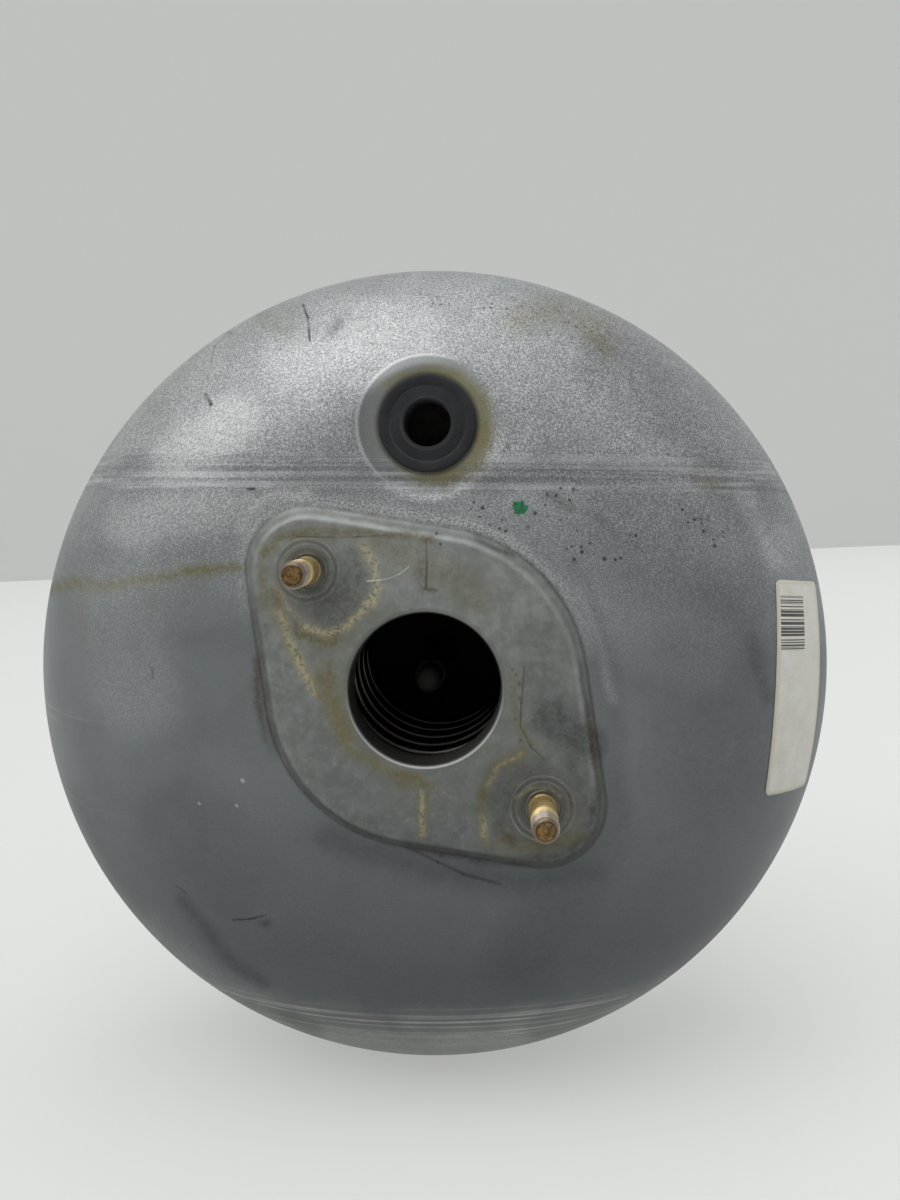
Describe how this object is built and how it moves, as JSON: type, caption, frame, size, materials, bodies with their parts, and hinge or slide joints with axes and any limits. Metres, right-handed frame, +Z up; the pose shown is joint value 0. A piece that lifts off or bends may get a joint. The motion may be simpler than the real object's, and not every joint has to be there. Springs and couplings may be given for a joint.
{
  "type": "brake booster",
  "caption": "Vacuum brake booster: round pressed-steel shell with a lozenge flange and studs for the master cylinder, and a pedal pushrod with clevis behind.",
  "frame": {"origin": "centre of the bulkhead stud pattern, on the booster's axis at the bulkhead mounting face", "axes": "+Y along the axis towards the pedal, -Y towards the master cylinder, +Z up towards the check-valve port"},
  "size_m": [0.2844, 0.289, 0.2844],
  "materials": {
    "zinc_sheet": "bare zinc-coated sheet, dulled and streaked",
    "yellow_zinc": "yellow-passivated zinc",
    "plain_steel": "oiled plain steel",
    "spring_steel": "dark drawn spring wire",
    "black_rubber": "matt moulded rubber",
    "phenolic": "brown-black moulded thermoset",
    "white_plastic": "natural moulded plastic",
    "felt": "grey felt",
    "foam": "open-cell foam"
  },
  "bodies": {
    "housing": {"front_shell": "zinc_sheet", "rear_shell": "zinc_sheet", "rear_shell_neck": "zinc_sheet", "master_cylinder_studs": "yellow_zinc", "bulkhead_studs": "yellow_zinc", "front_reinforcement_plate": "plain_steel", "rear_reinforcement_plate": "plain_steel", "check_valve_grommet": "black_rubber", "hub_guide_bush": "white_plastic", "hub_lip_seal": "black_rubber", "seal_washer": "plain_steel", "dust_boot": "black_rubber", "diaphragm": "black_rubber", "return_spring": "spring_steel"},
    "power_piston": {"valve_body": "phenolic", "diaphragm_plate": "yellow_zinc", "reaction_disc": "black_rubber", "output_pushrod": "plain_steel", "pushrod_adjuster": "yellow_zinc", "pushrod_retainer": "plain_steel", "valve_key": "plain_steel", "poppet_valve": "black_rubber", "poppet_spring": "spring_steel", "poppet_retainer": "plain_steel", "rod_return_spring": "spring_steel", "silencer_felt": "felt", "air_filter": "foam", "filter_cap": "white_plastic"},
    "plunger": {"valve_plunger": "plain_steel"},
    "input_side": {"input_rod": "yellow_zinc", "rod_spring_seat": "plain_steel", "lock_nut": "yellow_zinc", "clevis": "yellow_zinc"}
  },
  "joints": [
    {"name": "piston_stroke", "type": "slide", "parent": "housing", "child": "power_piston", "axis": [0, -1, 0], "range_m": [0, 0.034], "stiffness_N_per_m": 2500, "springref_m": -0.03, "deforming": ["return_spring", "diaphragm", "dust_boot"]},
    {"name": "valve_travel", "type": "slide", "parent": "power_piston", "child": "plunger", "axis": [0, -1, 0], "range_m": [0, 0.002], "stiffness_N_per_m": 1500, "springref_m": -0.01, "deforming": ["poppet_valve", "poppet_spring", "rod_return_spring"]},
    {"name": "rod_swivel", "type": "hinge", "parent": "plunger", "child": "input_side", "pos_m": [0, 0.0035, 0], "axis": [1, 0, 0], "range_deg": [-2.5, 2.5], "deforming": ["rod_return_spring"]}
  ]
}
